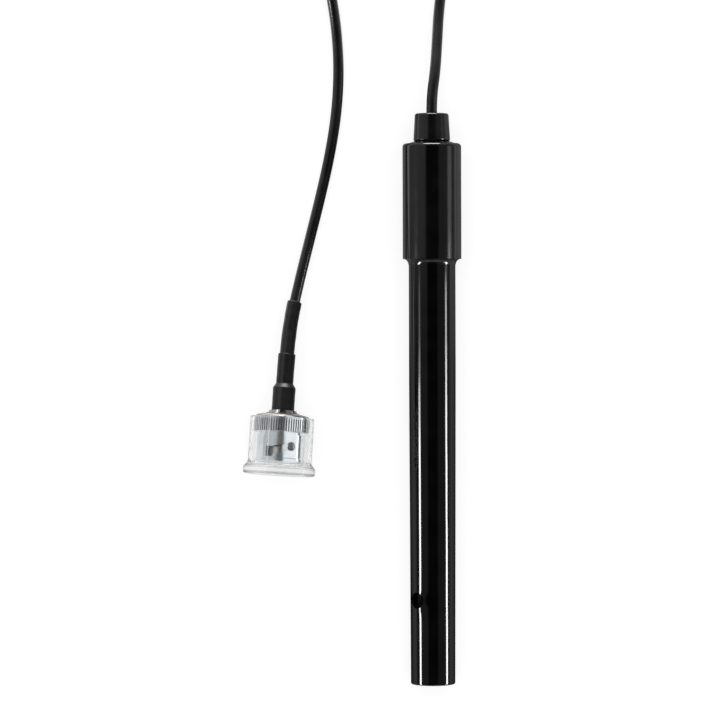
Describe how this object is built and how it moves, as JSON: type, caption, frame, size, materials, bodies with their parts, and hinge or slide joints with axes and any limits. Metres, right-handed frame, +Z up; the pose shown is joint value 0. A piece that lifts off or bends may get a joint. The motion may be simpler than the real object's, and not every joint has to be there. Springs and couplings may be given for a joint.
{
  "type": "conductivity electrode",
  "caption": "Dip-in conductivity electrode: a slim tube with a vented plate cell at its tip, a thicker head with a cable gland, and a coiled lead ending in a capped bayonet plug",
  "frame": {"origin": "under the middle of the electrode, on the surface that it lies on", "axes": "+Y runs along the electrode from its tip to its cable gland, +Z is up, and the plug lies at -X"},
  "size_m": [0.0585, 0.2279, 0.0188],
  "materials": {
    "shaft_tube": "moulded black engineering plastic, satin",
    "head": "moulded black engineering plastic, satin",
    "cable_gland": "moulded flexible black strain relief",
    "cell_holder": "moulded black insert",
    "cell_seal": "black O-ring",
    "plate_left": "platinised plate with its lead",
    "plate_right": "platinised plate with its lead",
    "core_left": "insulated core, white",
    "core_right": "insulated core, red",
    "cable_tail": "black cable jacket",
    "potting": "cast resin",
    "cable_from_gland": "black cable jacket, satin",
    "cable_coil": "black cable jacket, satin",
    "coil_tie": "plastic-coated wire tie",
    "cable_to_plug": "black cable jacket, satin",
    "inner_shrink": "shrunk black sleeve",
    "outer_shrink": "shrunk black sleeve",
    "crimp_ferrule": "nickel-plated brass",
    "plug_body": "nickel-plated brass",
    "insulator": "white fluoroplastic",
    "centre_pin": "gold-plated pin",
    "gasket": "black rubber ring",
    "wave_washer": "spring steel",
    "thrust_washer": "steel washer",
    "snap_ring": "spring steel",
    "coupling_collar": "nickel-plated brass, knurled grip",
    "dust_cap": "clear soft plastic, slightly milky"
  },
  "bodies": {
    "electrode": {"shaft_tube": "shaft_tube", "head": "head", "cable_gland": "cable_gland", "cell_holder": "cell_holder", "cell_seal": "cell_seal", "plate_left": "plate_left", "plate_right": "plate_right", "core_left": "core_left", "core_right": "core_right", "cable_tail": "cable_tail", "potting": "potting", "cable_from_gland": "cable_from_gland", "cable_coil": "cable_coil", "coil_tie": "coil_tie", "cable_to_plug": "cable_to_plug", "inner_shrink": "inner_shrink", "outer_shrink": "outer_shrink", "crimp_ferrule": "crimp_ferrule", "plug_body": "plug_body", "insulator": "insulator", "centre_pin": "centre_pin", "gasket": "gasket", "wave_washer": "wave_washer", "snap_ring": "snap_ring"},
    "collar_carriage": {"thrust_washer": "thrust_washer"},
    "collar": {"coupling_collar": "coupling_collar"},
    "cap": {"dust_cap": "dust_cap"}
  },
  "joints": [
    {"name": "collar_pull", "type": "slide", "parent": "electrode", "child": "collar_carriage", "axis": [-0.0643, -0.9943, 0.0854], "range_m": [0, 0.0012], "stiffness_N_per_m": 1000, "springref_m": -0.001, "deforming": ["wave_washer"]},
    {"name": "collar_turn", "type": "hinge", "parent": "collar_carriage", "child": "collar", "pos_m": [-0.03949, -0.01005, 0.0087], "axis": [-0.0643, -0.9943, 0.0854], "continuous": true},
    {"name": "cap_slide", "type": "slide", "parent": "collar", "child": "cap", "axis": [-0.0643, -0.9943, 0.0854], "range_m": [0, 0.02]}
  ]
}
